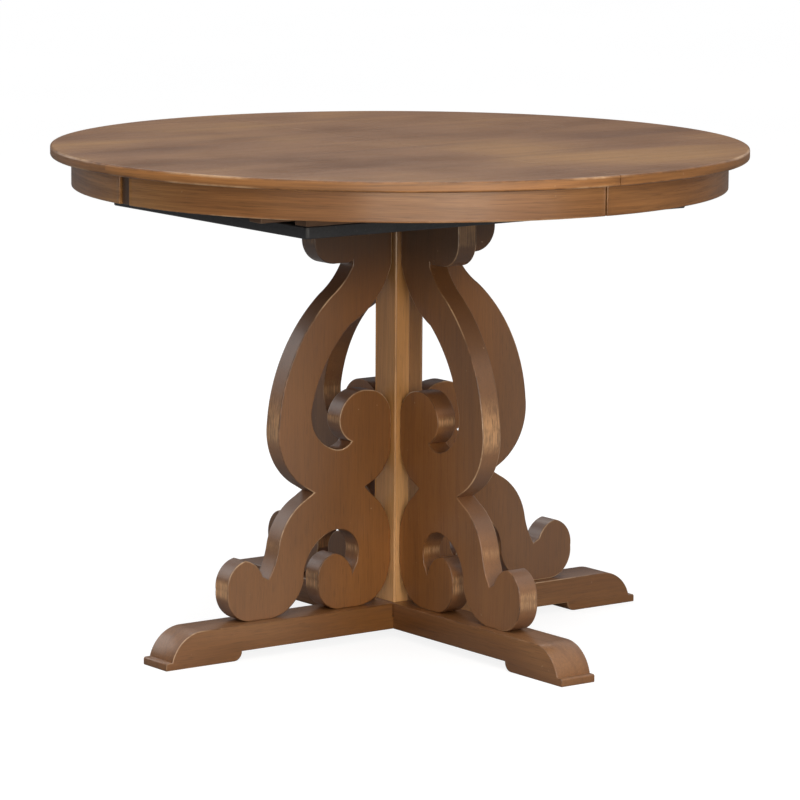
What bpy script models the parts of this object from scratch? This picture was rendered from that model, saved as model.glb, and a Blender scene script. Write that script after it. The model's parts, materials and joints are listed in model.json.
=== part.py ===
"""Round extension table on a carved four-bracket pedestal.

Metres, +Z up. The origin is on the floor under the middle of the top. The two half tops slide
apart along X to take a leaf: the front half is at -X, the back half at +X, left is +Y.
"""

import math

import bmesh
import bpy
from mathutils import Matrix, Vector

# Overall sizes
TABLE_HEIGHT = 0.762
TOP_DIAMETER = 1.0668
LEAF_SHARE = 8 / 21

# Lengths that keep their share of the top's diameter
PLATE_LENGTH_SHARE = 0.6674
PLATE_WIDTH_SHARE = 0.4818
PIN_SPACING_SHARE = 0.2812
RAIL_SCREW_SPACING_SHARE = 0.2343

# Half tops and their seam
TOP_THICKNESS = 0.016
TOP_EDGE_ROUND = 0.003
SEAM_GAP = 0.001
TOP_ARC_STEPS = 48

# Apron: four bent quarters, a splice block where two of them meet
APRON_SETBACK = 0.0319
APRON_HEIGHT = 0.046
APRON_THICKNESS = 0.018
APRON_EDGE = 0.0015
APRON_SEAM_GAP = 0.002
APRON_ARC_STEPS = 24
SPLICE_GAP = 0.025
SPLICE_RECESS = 0.005
SPLICE_BLOCK_WIDTH = 0.090
SPLICE_BLOCK_THICKNESS = 0.022
SPLICE_FIT = 0.001

# Plate on the pedestal and the slides between it and the top
SLIDE_SPACE = 0.063
PLATE_THICKNESS = 0.018
PLATE_CORNER = 0.005
GUIDE_WIDTH = 0.029
GUIDE_TOP_CLEARANCE = 0.004
GROOVE_DEPTH = 0.010
GROOVE_HEIGHT = 0.012
SLIDER_WIDTH = 0.030
SLIDER_SIDE_CLEARANCE = 0.0008
SLIDER_FLOOR_CLEARANCE = 0.006
SLIDER_SEAM_SETBACK = 0.004
SLIDER_END_CLEARANCE = 0.006
TONGUE_CLEARANCE = 0.0008
CROSS_BAR_WIDTH = 0.025
CROSS_BAR_HEIGHT = 0.035
CROSS_BAR_SETBACK = 0.020
STOP_BAR_WIDTH = 0.025
STOP_BAR_HEIGHT = 0.040
STOP_BAR_END_CLEARANCE = 0.003
STOP_CLEARANCE = 0.0005

# Post, crossed beams and their foot pads
POST_WIDTH = 0.053
POST_EDGE = 0.0015
BEAM_LENGTH = 0.900
BEAM_WIDTH = 0.063
BEAM_THICKNESS = 0.040
FOOT_PAD_LENGTH = 0.137
FOOT_PAD_HEIGHT = 0.014
TOE_LIP_HEIGHT = 0.012
TOE_LIP_DEPTH = 0.011
TOE_LIP_ROUND = 0.003
TOE_CURVE_LENGTH = 0.065
TOE_CURVE_RADIUS = 0.0554
BEAM_EDGE = 0.0015

# Carved brackets
BRACKET_THICKNESS = 0.034
BRACKET_REACH = 0.3027
BRACKET_EDGE = 0.0015

# Alignment pins and table latches at the seam
PIN_RADIUS = 0.004
PIN_LENGTH = 0.034
PIN_SHOW = 0.014
PIN_TIP = 0.002
LATCH_RIM_DISTANCE = 0.1634
LATCH_PIVOT_SETBACK = 0.030
LATCH_REACH = 0.058
LATCH_FLANGE_RADIUS = 0.015
LATCH_FLANGE_THICKNESS = 0.002
LATCH_STUD_RADIUS = 0.004
LATCH_HEAD_RADIUS = 0.0065
LATCH_HEAD_THICKNESS = 0.002
LEVER_THICKNESS = 0.003
LEVER_HALF_WIDTH = 0.008
LEVER_EYE_RADIUS = 0.010
LEVER_TAIL = 0.028
LEVER_HOOK_WALL = 0.009
LEVER_SLOT_CLEARANCE = 0.0012
LEVER_PLAY = 0.0005

# Fasteners: shank radius, head radius, head height, length
PLATE_SCREW = (0.003, 0.006, 0.004, 0.045)
FOOT_SCREW = (0.003, 0.006, 0.004, 0.065)
RAIL_SCREW = (0.0022, 0.0045, 0.0025, 0.030)
POST_BOLT = (0.005, 0.010, 0.004, 0.110)
WASHER_RADIUS = 0.0115
WASHER_THICKNESS = 0.0017
PLATE_SCREW_RADII = (0.065, 0.140)
FOOT_SCREW_RADIUS = 0.262
FOOT_SCREW_RECESS = 0.006
RAIL_SCREW_RECESS = 0.003
POST_BOLT_RECESS = 0.009
ROUND_STEPS = 12

# Gap left between pieces that touch, and a length safely larger than any wall
GAP = 0.0003
CLEAR = 0.010

# Heights and distances that follow from the sizes above
top_underside = TABLE_HEIGHT - TOP_THICKNESS
plate_top = top_underside - SLIDE_SPACE
plate_underside = plate_top - PLATE_THICKNESS
beam_underside = FOOT_PAD_HEIGHT
beam_top = beam_underside + BEAM_THICKNESS
apron_outer = TOP_DIAMETER / 2 - APRON_SETBACK
apron_inner = apron_outer - APRON_THICKNESS
half_travel = TOP_DIAMETER * LEAF_SHARE / 2
plate_length = TOP_DIAMETER * PLATE_LENGTH_SHARE
plate_width = TOP_DIAMETER * PLATE_WIDTH_SHARE
latch_offset = TOP_DIAMETER / 2 - LATCH_RIM_DISTANCE
guide_inner = plate_width / 2 - GUIDE_WIDTH
slider_outer = guide_inner - SLIDER_SIDE_CLEARANCE
slider_inner = slider_outer - SLIDER_WIDTH
groove_middle = plate_top + SLIDE_SPACE / 2
bracket_start = POST_WIDTH / 2 + GAP
bracket_height = plate_underside - beam_top - 2 * GAP

# Bracket outline in millimetres, out from the post face and up from the beam. Each step is a
# straight run to a point, or an arc through one point to another in a number of steps.
PATTERN_REACH = 302.7
PATTERN_HEIGHT = 610.5
PATTERN = [
    # flat top against the plate, nose scroll under it, nick where the big scroll starts
    ((145, 610.5),), ((145, 571.5),),
    ((134, 545), (104, 534), 5), ((80, 534),), ((72.5, 537.5),), ((73, 529.5),),
    # outside of the big scroll, down to the waist
    ((87, 508.5), (112, 485.5), 3), ((177, 405.5), (209, 295.5), 8),
    ((195, 229.5), (157, 193.5), 6), ((144, 185.5),),
    # outside of the lower S, nick, toe scroll
    ((159, 176.5),), ((192, 148.5), (210, 105.5), 4), ((217, 81.5), (228, 60.5), 3),
    ((239, 66.5),), ((249, 82.5), (270, 94), 3), ((295, 78.5), (302.7, 48.5), 4),
    ((292, 14.5), (260, 0), 4), ((221, 0),),
    # inside of the lower S, nick, inner foot scroll
    ((184, 16.5), (163, 51.5), 4), ((143, 103.5), (103, 124), 5), ((71, 111.5), (61, 88.5), 4),
    ((63, 70.5),), ((72, 53.5),), ((83, 75.5), (104, 87), 4), ((129, 74.5), (136, 46.5), 4),
    ((126, 13.5), (99, 0), 4), ((63, 0),),
    # back of the foot scroll against the post, notch at the waist
    ((22, 15.5), (3, 50.5), 5), ((0, 63.5),), ((0, 93.5),), ((13, 148.5), (35, 171.5), 4),
    ((49, 185.5),), ((28, 196),),
    # back and crown of the inner scroll, nick, inside of the big scroll up to the post
    ((8, 218.5), (0, 250.5), 4), ((0, 290.5),), ((12, 321.5), (42, 335), 5),
    ((83, 322.5), (97, 294.5), 5), ((91, 272.5), (74, 258), 3), ((88, 249), (110, 250.5), 2),
    ((138, 270.5), (149, 311.5), 4), ((128, 372.5), (75, 440.5), 6), ((25, 479.5), (0, 527.5), 5),
]

SIDES = {"back": 0.0, "left": math.pi / 2, "front": math.pi, "right": -math.pi / 2}


def clear_scene():
    for obj in list(bpy.data.objects):
        bpy.data.objects.remove(obj, do_unlink=True)


def finish(name, colour, roughness, metallic=0.0):
    """A plain material with the piece's own colour."""
    made = bpy.data.materials.new(name)
    made.use_nodes = True
    shader = made.node_tree.nodes["Principled BSDF"]
    shader.inputs["Base Color"].default_value = (*colour, 1.0)
    shader.inputs["Roughness"].default_value = roughness
    shader.inputs["Metallic"].default_value = metallic
    return made


# Shapes


def arc(start, via, end, steps):
    """The points after start on the circle through three points, the last of them end."""
    (ax, ay), (bx, by), (cx, cy) = start, via, end
    double_area = 2 * (ax * (by - cy) + bx * (cy - ay) + cx * (ay - by))
    a2, b2, c2 = ax * ax + ay * ay, bx * bx + by * by, cx * cx + cy * cy
    mx = (a2 * (by - cy) + b2 * (cy - ay) + c2 * (ay - by)) / double_area
    my = (a2 * (cx - bx) + b2 * (ax - cx) + c2 * (bx - ax)) / double_area
    radius = math.hypot(ax - mx, ay - my)
    first = math.atan2(ay - my, ax - mx)
    middle = (math.atan2(by - my, bx - mx) - first) % math.tau
    sweep = (math.atan2(cy - my, cx - mx) - first) % math.tau
    if middle > sweep:
        sweep -= math.tau
    turns = [first + sweep * k / steps for k in range(1, steps + 1)]
    return [(mx + radius * math.cos(t), my + radius * math.sin(t)) for t in turns]


def circle_arc(centre, radius, first, last, steps):
    turns = [first + (last - first) * k / steps for k in range(steps + 1)]
    return [(centre[0] + radius * math.cos(t), centre[1] + radius * math.sin(t)) for t in turns]


def rectangle(x0, x1, y0, y1):
    return [(x0, y0), (x1, y0), (x1, y1), (x0, y1)]


def link(name, bm, material):
    """An object with the mesh that bm holds, its faces pointing out."""
    bmesh.ops.recalc_face_normals(bm, faces=bm.faces)
    mesh = bpy.data.meshes.new(name)
    bm.to_mesh(mesh)
    bm.free()
    if material:
        mesh.materials.append(material)
    obj = bpy.data.objects.new(name, mesh)
    bpy.context.collection.objects.link(obj)
    return obj


def prism(name, outline, depth, material, edge=0.0, eased=None, segments=1):
    """The outline in the local XY plane, grown along +Z, with its rim edges eased."""
    bm = bmesh.new()
    face = bm.faces.new([bm.verts.new((x, y, 0.0)) for x, y in outline])
    grown = bmesh.ops.extrude_face_region(bm, geom=[face])
    risen = [v for v in grown["geom"] if isinstance(v, bmesh.types.BMVert)]
    bmesh.ops.translate(bm, verts=risen, vec=(0.0, 0.0, depth))
    if edge:
        level = [e for e in bm.edges if abs(e.verts[0].co.z - e.verts[1].co.z) < depth / 2]
        rims = [e for e in level if eased is None or eased(e)]
        bmesh.ops.bevel(bm, geom=rims, offset=edge, segments=segments, profile=0.5, affect="EDGES")
    return link(name, bm, material)


def plug_profile(radius, top, bottom):
    """The profile of a plain round plug, which cuts a plain round hole."""
    return [(0.0, top), (radius, top), (radius, bottom), (0.0, bottom)]


def turned(name, profile, material):
    """The profile of (radius, height) points, from axis to axis or closed, turned about Z."""
    bm = bmesh.new()
    verts = [bm.verts.new((radius, 0.0, height)) for radius, height in profile]
    ends_on_axis = profile[0][0] == 0.0 and profile[-1][0] == 0.0
    pairs = list(zip(verts, verts[1:]))
    if not ends_on_axis:
        pairs.append((verts[-1], verts[0]))
    edges = [bm.edges.new(pair) for pair in pairs]
    bmesh.ops.spin(
        bm,
        geom=verts + edges,
        cent=(0.0, 0.0, 0.0),
        axis=(0.0, 0.0, 1.0),
        angle=math.tau,
        steps=ROUND_STEPS,
        use_merge=True,
    )
    bmesh.ops.remove_doubles(bm, verts=bm.verts, dist=1e-6)
    obj = link(name, bm, material)
    obj.data.shade_smooth()
    obj.data.set_sharp_from_angle(angle=math.radians(40))
    return obj


def bent_bar(name, profile, first, last, steps, material):
    """The closed profile of (radius, height) points, swept about Z from one angle to another."""
    bm = bmesh.new()
    verts = [bm.verts.new(turned_to(first, (r, 0.0, z))) for r, z in profile]
    face = bm.faces.new(verts)
    bmesh.ops.spin(
        bm,
        geom=[face, *face.edges, *face.verts],
        cent=(0.0, 0.0, 0.0),
        axis=(0.0, 0.0, 1.0),
        angle=last - first,
        steps=steps,
    )
    return link(name, bm, material)


# Placing and cutting


def turned_to(heading, point):
    """The point, turned about the Z axis."""
    return Matrix.Rotation(heading, 3, "Z") @ Vector(point)


def place(obj, location=(0.0, 0.0, 0.0), heading=0.0, upright=False, parent=None):
    """Upright stands the local XY plane on edge; heading then turns the piece about Z."""
    obj.location = location
    obj.rotation_euler = (math.pi / 2 if upright else 0.0, 0.0, heading)
    if parent:
        obj.parent = parent
        obj.matrix_parent_inverse = Matrix.Translation(parent.location).inverted()
    return obj


def lengthwise(obj, start, parent=None):
    """A prism of a (y, z) section, laid along +X from start."""
    return place(obj, (start, 0.0, 0.0), heading=math.pi / 2, upright=True, parent=parent)


def joint_empty(name, location):
    empty = bpy.data.objects.new(name, None)
    empty.location = location
    bpy.context.collection.objects.link(empty)
    return empty


def cut(obj, cutter):
    """Takes the cutter's shape out of obj. The cutter stays hidden."""
    cutter.hide_render = True
    cutter.display_type = "WIRE"
    modifier = obj.modifiers.new(cutter.name, "BOOLEAN")
    modifier.operation = "DIFFERENCE"
    modifier.solver = "EXACT"
    modifier.object = cutter


def screw_profile(shank, head, head_height, length, grown=0.0):
    """A flat-headed screw, its seat at height 0 and its point down. grown gives it clearance."""
    tip = shank + grown
    head_top = head_height + (CLEAR if grown else 0.0)
    return [
        (0.0, head_top),
        (head + grown, head_top),
        (head + grown, -grown),
        (shank + grown, -grown),
        (shank + grown, tip - length),
        (0.0, -length - grown),
    ]


def screw(name, sizes, location, hosts, material, upward=False, recessed=False):
    """A screw and its hole in each host. It points down, or up where upward is set."""
    flip = math.pi if upward else 0.0
    made = turned(name, screw_profile(*sizes), material)
    shank, head, head_height, length = sizes
    if recessed:
        hole_profile = screw_profile(*sizes, grown=GAP)
    else:
        hole_profile = [
            (0.0, CLEAR),
            (shank + GAP, CLEAR),
            (shank + GAP, shank + GAP - length),
            (0.0, -length - GAP),
        ]
    hole = turned(name + "_hole", hole_profile, None)
    for obj in (made, hole):
        obj.location = location
        obj.rotation_euler = (flip, 0.0, 0.0)
    for host in hosts:
        cut(host, hole)
    return made


# Pedestal


def beam_outline():
    """Side view of a beam: two foot pads, and a curved toe over a small lip at each end."""
    tip = BEAM_LENGTH / 2
    pad = tip - FOOT_PAD_LENGTH
    heel_centre = (pad + FOOT_PAD_HEIGHT, FOOT_PAD_HEIGHT)
    heel = circle_arc(heel_centre, FOOT_PAD_HEIGHT, math.pi, 1.5 * math.pi, 4)
    lip_centre = (tip - TOE_LIP_ROUND, TOE_LIP_HEIGHT - TOE_LIP_ROUND)
    lip = circle_arc(lip_centre, TOE_LIP_ROUND, 0.0, math.pi / 2, 3)
    toe_foot = (tip - TOE_LIP_DEPTH, TOE_LIP_HEIGHT)
    toe_top = (tip - TOE_CURVE_LENGTH, beam_top)
    half_turn = math.acos(1 - (beam_top - TOE_LIP_HEIGHT) / TOE_CURVE_RADIUS) / 2
    toe_middle = (
        toe_top[0] + TOE_CURVE_RADIUS * math.sin(half_turn),
        toe_top[1] - TOE_CURVE_RADIUS * (1 - math.cos(half_turn)),
    )
    half = heel + [(tip, 0.0)] + lip + [toe_foot] + arc(toe_foot, toe_middle, toe_top, 7)
    return half + [(-x, z) for x, z in reversed(half)]


def make_beams(wood):
    """Two beams that cross in a half lap. The one across the slides passes over the other."""
    outline = beam_outline()
    beams = {}
    for name, heading in (("beam_front_back", 0.0), ("beam_left_right", math.pi / 2)):
        beam = prism(name, outline, BEAM_WIDTH, wood, edge=BEAM_EDGE)
        side = turned_to(heading, (0.0, BEAM_WIDTH / 2, 0.0))
        beams[name] = place(beam, side, heading, upright=True)
    middle = beam_underside + BEAM_THICKNESS / 2
    reach = BEAM_WIDTH / 2 + GAP
    square = rectangle(-reach, reach, -reach, reach)
    upper = prism("lap_cutter_upper", square, BEAM_THICKNESS, None)
    lower = prism("lap_cutter_lower", square, BEAM_THICKNESS, None)
    cut(beams["beam_front_back"], place(upper, (0.0, 0.0, middle - GAP / 2)))
    cut(beams["beam_left_right"], place(lower, (0.0, 0.0, middle + GAP / 2 - BEAM_THICKNESS)))
    return beams


def make_post(wood):
    half = POST_WIDTH / 2
    flat = half - POST_EDGE
    outline = []
    for heading in SIDES.values():
        outline += [turned_to(heading, (x, y, 0.0)).to_2d() for x, y in ((half, flat), (flat, half))]
    length = plate_underside - beam_top - 2 * GAP
    return place(prism("centre_post", outline, length, wood), (0.0, 0.0, beam_top + GAP))


def bracket_outline():
    points = [(0.0, PATTERN_HEIGHT)]
    for step in PATTERN:
        points += [step[0]] if len(step) == 1 else arc(points[-1], *step)
    across = BRACKET_REACH / PATTERN_REACH
    up = bracket_height / PATTERN_HEIGHT
    return [(x * across, z * up) for x, z in points]


def make_brackets(wood):
    """Four carved brackets with one shape, one on each face of the post."""
    pattern = prism("bracket_back", bracket_outline(), BRACKET_THICKNESS, wood, edge=BRACKET_EDGE)
    brackets = {}
    for side, heading in SIDES.items():
        name = "bracket_" + side
        bracket = pattern if side == "back" else bpy.data.objects.new(name, pattern.data)
        if side != "back":
            bpy.context.collection.objects.link(bracket)
        corner = turned_to(heading, (bracket_start, BRACKET_THICKNESS / 2, beam_top + GAP))
        brackets[side] = place(bracket, corner, heading, upright=True)
    return brackets


def make_plate(paint):
    x, y, corner = plate_length / 2, plate_width / 2, PLATE_CORNER
    outline = []
    for quarter, (cx, cy) in enumerate(((x, y), (-x, y), (-x, -y), (x, -y))):
        centre = (cx - math.copysign(corner, cx), cy - math.copysign(corner, cy))
        start = quarter * math.pi / 2
        outline += circle_arc(centre, corner, start, start + math.pi / 2, 3)
    plate = prism("mounting_plate", outline, PLATE_THICKNESS, paint, edge=POST_EDGE)
    return place(plate, (0.0, 0.0, plate_underside))


def make_guides(wood):
    """Grooved rails fixed along both long edges of the plate, and bars that stop the slides."""
    bottom = plate_top + GAP
    top = top_underside - GUIDE_TOP_CLEARANCE
    outer = plate_width / 2
    low = groove_middle - GROOVE_HEIGHT / 2
    high = groove_middle + GROOVE_HEIGHT / 2
    section = [
        (outer, bottom), (outer, top), (guide_inner, top), (guide_inner, high),
        (guide_inner + GROOVE_DEPTH, high), (guide_inner + GROOVE_DEPTH, low),
        (guide_inner, low), (guide_inner, bottom),
    ]
    guides = {}
    for side, sign in (("left", 1), ("right", -1)):
        outline = [(sign * y, z) for y, z in section]
        guide = prism("guide_rail_" + side, outline, plate_length, wood)
        guides[side] = lengthwise(guide, -plate_length / 2)
    reach = slider_inner - STOP_BAR_END_CLEARANCE
    inboard = CROSS_BAR_SETBACK + CROSS_BAR_WIDTH + half_travel + STOP_CLEARANCE
    for end, sign in (("front", -1), ("back", 1)):
        xs = sorted((sign * inboard, sign * (inboard + STOP_BAR_WIDTH)))
        bar = prism("stop_bar_" + end, rectangle(*xs, -reach, reach), STOP_BAR_HEIGHT, wood)
        place(bar, (0.0, 0.0, bottom))
    return guides


def washer(name, height, material):
    section = rectangle(POST_BOLT[0] + GAP, WASHER_RADIUS, 0.0, WASHER_THICKNESS)
    return place(turned(name, section, material), (0.0, 0.0, height))


def make_fasteners(steel, post, beams, brackets, plate, guides):
    for side, heading in SIDES.items():
        for label, radius in zip(("inner", "outer"), PLATE_SCREW_RADII):
            spot = turned_to(heading, (radius, 0.0, plate_top + GAP))
            screw(f"plate_screw_{side}_{label}", PLATE_SCREW, spot, (plate, brackets[side]), steel)
        spot = turned_to(heading, (FOOT_SCREW_RADIUS, 0.0, beam_underside + FOOT_SCREW_RECESS))
        beam = beams["beam_front_back" if side in ("front", "back") else "beam_left_right"]
        hosts = (beam, brackets[side])
        screw(f"foot_screw_{side}", FOOT_SCREW, spot, hosts, steel, upward=True, recessed=True)
    for side, sign in (("left", 1), ("right", -1)):
        for label, x in (("front", -1), ("middle", 0), ("back", 1)):
            spot = (
                x * TOP_DIAMETER * RAIL_SCREW_SPACING_SHARE,
                sign * (plate_width - GUIDE_WIDTH) / 2,
                plate_underside + RAIL_SCREW_RECESS,
            )
            name = f"rail_screw_{side}_{label}"
            screw(name, RAIL_SCREW, spot, (plate, guides[side]), steel, upward=True, recessed=True)
    washer("post_washer_top", plate_top + GAP, steel)
    seat = plate_top + 2 * GAP + WASHER_THICKNESS
    screw("post_bolt_top", POST_BOLT, (0.0, 0.0, seat), (plate, post), steel)
    washer_height = beam_underside + POST_BOLT_RECESS - WASHER_THICKNESS - GAP
    washer("post_washer_foot", washer_height, steel)
    seat = washer_height - GAP
    hosts = (*beams.values(), post)
    screw("post_bolt_foot", POST_BOLT, (0.0, 0.0, seat), hosts, steel, upward=True)
    bore_radius = WASHER_RADIUS + 2 * GAP
    bore = turned("post_bolt_recess", plug_profile(bore_radius, POST_BOLT_RECESS, -CLEAR), None)
    cut(beams["beam_front_back"], place(bore, (0.0, 0.0, beam_underside)))


# Half tops


def make_top_half(end, sign, wood, parent):
    """A half disc with its curved edges rounded, its straight edge at the seam."""
    radius = (TOP_DIAMETER - SEAM_GAP) / 2
    outline = circle_arc((0.0, 0.0), radius, -math.pi / 2, math.pi / 2, TOP_ARC_STEPS)

    def on_arc(edge):
        return edge.calc_length() < radius

    half = prism(
        "tabletop_" + end, outline, TOP_THICKNESS, wood, edge=TOP_EDGE_ROUND, eased=on_arc, segments=2
    )
    heading = 0.0 if sign > 0 else math.pi
    return place(half, (sign * SEAM_GAP / 2, 0.0, top_underside), heading, parent=parent)


def make_apron(end, sign, wood, parent):
    bottom = top_underside - GAP - APRON_HEIGHT
    profile = [
        (apron_inner, bottom),
        (apron_outer - APRON_EDGE, bottom),
        (apron_outer, bottom + APRON_EDGE),
        (apron_outer, bottom + APRON_HEIGHT),
        (apron_inner, bottom + APRON_HEIGHT),
    ]
    seam = math.asin(APRON_SEAM_GAP / 2 / apron_outer)
    splice = math.asin(SPLICE_GAP / 2 / apron_outer)
    middle = 0.0 if sign > 0 else math.pi
    for side, towards in (("left", 1), ("right", -1)):
        turn = sign * towards
        angles = sorted((middle + turn * splice, middle + turn * (math.pi / 2 - seam)))
        quarter = bent_bar(f"apron_{end}_{side}", profile, *angles, APRON_ARC_STEPS, wood)
        place(quarter, parent=parent)
    tongue = SPLICE_GAP / 2 * apron_inner / apron_outer - GAP
    half_block = SPLICE_BLOCK_WIDTH / 2
    face = math.sqrt(apron_inner**2 - half_block**2) - SPLICE_FIT
    outline = [
        (face - SPLICE_BLOCK_THICKNESS, -half_block), (face, -half_block), (face, -tongue),
        (apron_outer - SPLICE_RECESS, -tongue), (apron_outer - SPLICE_RECESS, tongue),
        (face, tongue), (face, half_block), (face - SPLICE_BLOCK_THICKNESS, half_block),
    ]
    block = prism("apron_splice_" + end, outline, APRON_HEIGHT, wood)
    place(block, (0.0, 0.0, bottom), middle, parent=parent)


def make_sliders(end, sign, wood, parent):
    """Two rails with a tongue in the guide's groove, tied together by a cross bar near the seam."""
    bottom = plate_top + SLIDER_FLOOR_CLEARANCE
    top = top_underside - GAP
    low = groove_middle - GROOVE_HEIGHT / 2 + TONGUE_CLEARANCE
    high = groove_middle + GROOVE_HEIGHT / 2 - TONGUE_CLEARANCE
    tongue = guide_inner + GROOVE_DEPTH - TONGUE_CLEARANCE
    section = [
        (slider_inner, bottom), (slider_outer, bottom), (slider_outer, low), (tongue, low),
        (tongue, high), (slider_outer, high), (slider_outer, top), (slider_inner, top),
    ]
    outer_end = math.sqrt((apron_inner - SLIDER_END_CLEARANCE) ** 2 - tongue**2)
    start, stop = sorted((sign * SLIDER_SEAM_SETBACK, sign * outer_end))
    for side, mirror in (("left", 1), ("right", -1)):
        outline = [(mirror * y, z) for y, z in section]
        lengthwise(prism(f"slider_{end}_{side}", outline, stop - start, wood), start, parent)
    reach = slider_inner - GAP
    xs = sorted((sign * CROSS_BAR_SETBACK, sign * (CROSS_BAR_SETBACK + CROSS_BAR_WIDTH)))
    bar = prism("cross_bar_" + end, rectangle(*xs, -reach, reach), CROSS_BAR_HEIGHT, wood)
    place(bar, (0.0, 0.0, top - CROSS_BAR_HEIGHT), parent=parent)


def make_pins(brass, tops, parent):
    """Pins fixed in the front half's edge that enter holes in the back half's edge."""
    height = top_underside + TOP_THICKNESS / 2
    for label, across in (("left", 1), ("middle", 0), ("right", -1)):
        profile = [
            (0.0, PIN_LENGTH), (PIN_RADIUS - PIN_TIP, PIN_LENGTH), (PIN_RADIUS, PIN_LENGTH - PIN_TIP),
            (PIN_RADIUS, 0.0), (0.0, 0.0),
        ]
        pin = turned("alignment_pin_" + label, profile, brass)
        hole_profile = plug_profile(PIN_RADIUS + GAP, PIN_LENGTH + GAP, -GAP)
        hole = turned("alignment_pin_hole_" + label, hole_profile, None)
        for obj in (pin, hole):
            obj.location = (PIN_SHOW - PIN_LENGTH, across * TOP_DIAMETER * PIN_SPACING_SHARE, height)
            obj.rotation_euler = (0.0, math.pi / 2, 0.0)
        pin.parent = parent
        pin.matrix_parent_inverse = Matrix.Translation(parent.location).inverted()
        for top in tops:
            cut(top, hole)


def stud_profile():
    """A flange against the top, a stud down from it, and a riveted head under the lever."""
    flange = -LATCH_FLANGE_THICKNESS
    head = flange - LEVER_THICKNESS - 2 * LEVER_PLAY
    return [
        (0.0, 0.0),
        (LATCH_FLANGE_RADIUS, 0.0),
        (LATCH_FLANGE_RADIUS, flange),
        (LATCH_STUD_RADIUS, flange),
        (LATCH_STUD_RADIUS, head),
        (LATCH_HEAD_RADIUS, head),
        (LATCH_HEAD_RADIUS, head - LATCH_HEAD_THICKNESS),
        (0.0, head - LATCH_HEAD_THICKNESS),
    ]


def lever_outline(sign):
    """Plan of a closed lever along +X: tail, eye, arm and a hook that is open to one side."""
    slot = LATCH_STUD_RADIUS + LEVER_SLOT_CLEARANCE
    wide = LEVER_HALF_WIDTH
    eye_turn = math.asin(wide / LEVER_EYE_RADIUS)
    end = LATCH_REACH + slot + LEVER_HOOK_WALL
    points = circle_arc((0.0, 0.0), LEVER_EYE_RADIUS, -math.pi + eye_turn, -eye_turn, 6)
    points += [(LATCH_REACH - slot, -wide)]
    points += circle_arc((LATCH_REACH, 0.0), slot, math.pi, 0.0, 6)
    points += [(LATCH_REACH + slot, -wide), (end - wide / 2, -wide)]
    points += [(end, -wide / 2), (end, wide / 2), (end - wide / 2, wide)]
    points += circle_arc((0.0, 0.0), LEVER_EYE_RADIUS, eye_turn, math.pi - eye_turn, 6)
    points += circle_arc((-LEVER_TAIL, 0.0), wide, math.pi / 2, 1.5 * math.pi, 6)
    return [(x, sign * y) for x, y in points]


def make_latches(steel, front, back):
    """A swinging lever on the front half that hooks round a stud on the back half, each side."""
    flange_top = top_underside - GAP
    lever_top = flange_top - LATCH_FLANGE_THICKNESS - LEVER_PLAY
    for side, sign in (("left", 1), ("right", -1)):
        pivot = (-LATCH_PIVOT_SETBACK, sign * latch_offset)
        keeper = (pivot[0] + LATCH_REACH, pivot[1])
        base = turned("latch_base_" + side, stud_profile(), steel)
        place(base, (*pivot, flange_top), parent=front)
        catch = turned("latch_keeper_" + side, stud_profile(), steel)
        place(catch, (*keeper, flange_top), parent=back)
        swing = joint_empty("latch_pivot_" + side, (*pivot, lever_top))
        swing.parent = front
        swing.matrix_parent_inverse = Matrix.Translation(front.location).inverted()
        lever = prism("latch_lever_" + side, lever_outline(sign), LEVER_THICKNESS, steel)
        eye_profile = plug_profile(LATCH_STUD_RADIUS + LEVER_PLAY, CLEAR, -CLEAR)
        eye = turned("latch_eye_" + side, eye_profile, None)
        for obj in (lever, eye):
            obj.parent = swing
            obj.location = (0.0, 0.0, -LEVER_THICKNESS)
            obj.rotation_euler = (0.0, 0.0, sign * math.pi / 2)
        cut(lever, eye)


def main():
    clear_scene()
    top_wood = finish("Stained top", (0.235, 0.125, 0.062), 0.38)
    frame_wood = finish("Stained frame", (0.205, 0.098, 0.042), 0.45)
    slide_wood = finish("Slide wood", (0.300, 0.160, 0.080), 0.55)
    black = finish("Black paint", (0.014, 0.015, 0.018), 0.40)
    steel = finish("Zinc steel", (0.560, 0.570, 0.580), 0.35, 1.0)
    brass = finish("Brass", (0.720, 0.520, 0.240), 0.30, 1.0)

    beams = make_beams(frame_wood)
    post = make_post(frame_wood)
    brackets = make_brackets(frame_wood)
    plate = make_plate(black)
    guides = make_guides(slide_wood)
    make_fasteners(steel, post, beams, brackets, plate, guides)

    front = joint_empty("front_half_slide", (0.0, 0.0, groove_middle))
    back = joint_empty("back_half_slide", (0.0, 0.0, groove_middle))
    tops = []
    for end, sign, half in (("front", -1, front), ("back", 1, back)):
        tops.append(make_top_half(end, sign, top_wood, half))
        make_apron(end, sign, frame_wood, half)
        make_sliders(end, sign, slide_wood, half)
    make_pins(brass, tops, front)
    make_latches(steel, front, back)


main()
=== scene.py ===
import json
import math

import bmesh
import bpy
from bpy.props import FloatProperty, FloatVectorProperty, IntProperty, PointerProperty
from mathutils import Matrix, Vector

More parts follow.
